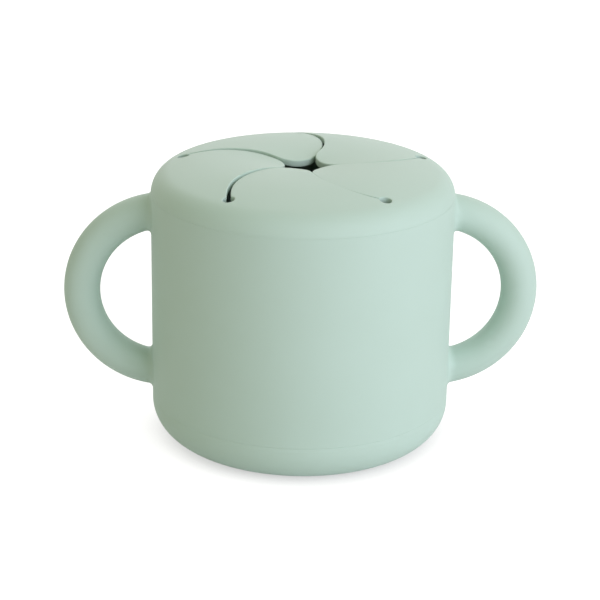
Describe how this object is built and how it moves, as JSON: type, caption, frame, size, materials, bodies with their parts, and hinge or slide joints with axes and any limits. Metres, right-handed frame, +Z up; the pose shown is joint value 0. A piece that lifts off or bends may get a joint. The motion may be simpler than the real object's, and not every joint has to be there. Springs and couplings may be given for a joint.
{
  "type": "toddler snack container",
  "caption": "Round soft silicone snack cup with two ring handles and a pressed-on lid whose arched top is cut into curved push-through flaps.",
  "frame": {"origin": "middle of the underside, on the surface the cup stands on", "axes": "+Z up along the cup's axis; +X through the right handle's middle, so both handles lie in the X-Z plane"},
  "size_m": [0.1424, 0.09, 0.0848],
  "materials": {
    "silicone": "Soft silicone rubber in pale sage green, compression moulded, with an even matt surface and a faint sheen at grazing angles."
  },
  "bodies": {
    "cup": {"cup_body": "silicone", "left_handle": "silicone", "right_handle": "silicone"},
    "lid": {"lid": "silicone"},
    "flap_1": {"flap_1": "silicone"},
    "flap_2": {"flap_2": "silicone"},
    "flap_3": {"flap_3": "silicone"},
    "flap_4": {"flap_4": "silicone"},
    "flap_5": {"flap_5": "silicone"}
  },
  "joints": [
    {"name": "lid_lift", "type": "slide", "parent": "cup", "child": "lid", "axis": [0, 0, 1], "range_m": [0, 0.03]},
    {"name": "flap_1_bend", "type": "hinge", "parent": "lid", "child": "flap_1", "pos_m": [-0.01757, 0.02473, 0.0824], "axis": [0.8151, 0.5793, 0], "range_deg": [-30, 75], "stiffness_Nm_per_rad": 0.015},
    {"name": "flap_2_bend", "type": "hinge", "parent": "lid", "child": "flap_2", "pos_m": [-0.02895, -0.00907, 0.0824], "axis": [-0.299, 0.9542, 0], "range_deg": [-30, 75], "stiffness_Nm_per_rad": 0.015},
    {"name": "flap_3_bend", "type": "hinge", "parent": "lid", "child": "flap_3", "pos_m": [-0.00032, -0.03034, 0.0824], "axis": [-0.9999, 0.0105, 0], "range_deg": [-30, 75], "stiffness_Nm_per_rad": 0.015},
    {"name": "flap_4_bend", "type": "hinge", "parent": "lid", "child": "flap_4", "pos_m": [0.02875, -0.00968, 0.0824], "axis": [-0.319, -0.9478, 0], "range_deg": [-30, 75], "stiffness_Nm_per_rad": 0.015},
    {"name": "flap_5_bend", "type": "hinge", "parent": "lid", "child": "flap_5", "pos_m": [0.01809, 0.02436, 0.0824], "axis": [0.8028, -0.5962, 0], "range_deg": [-30, 75], "stiffness_Nm_per_rad": 0.015}
  ]
}
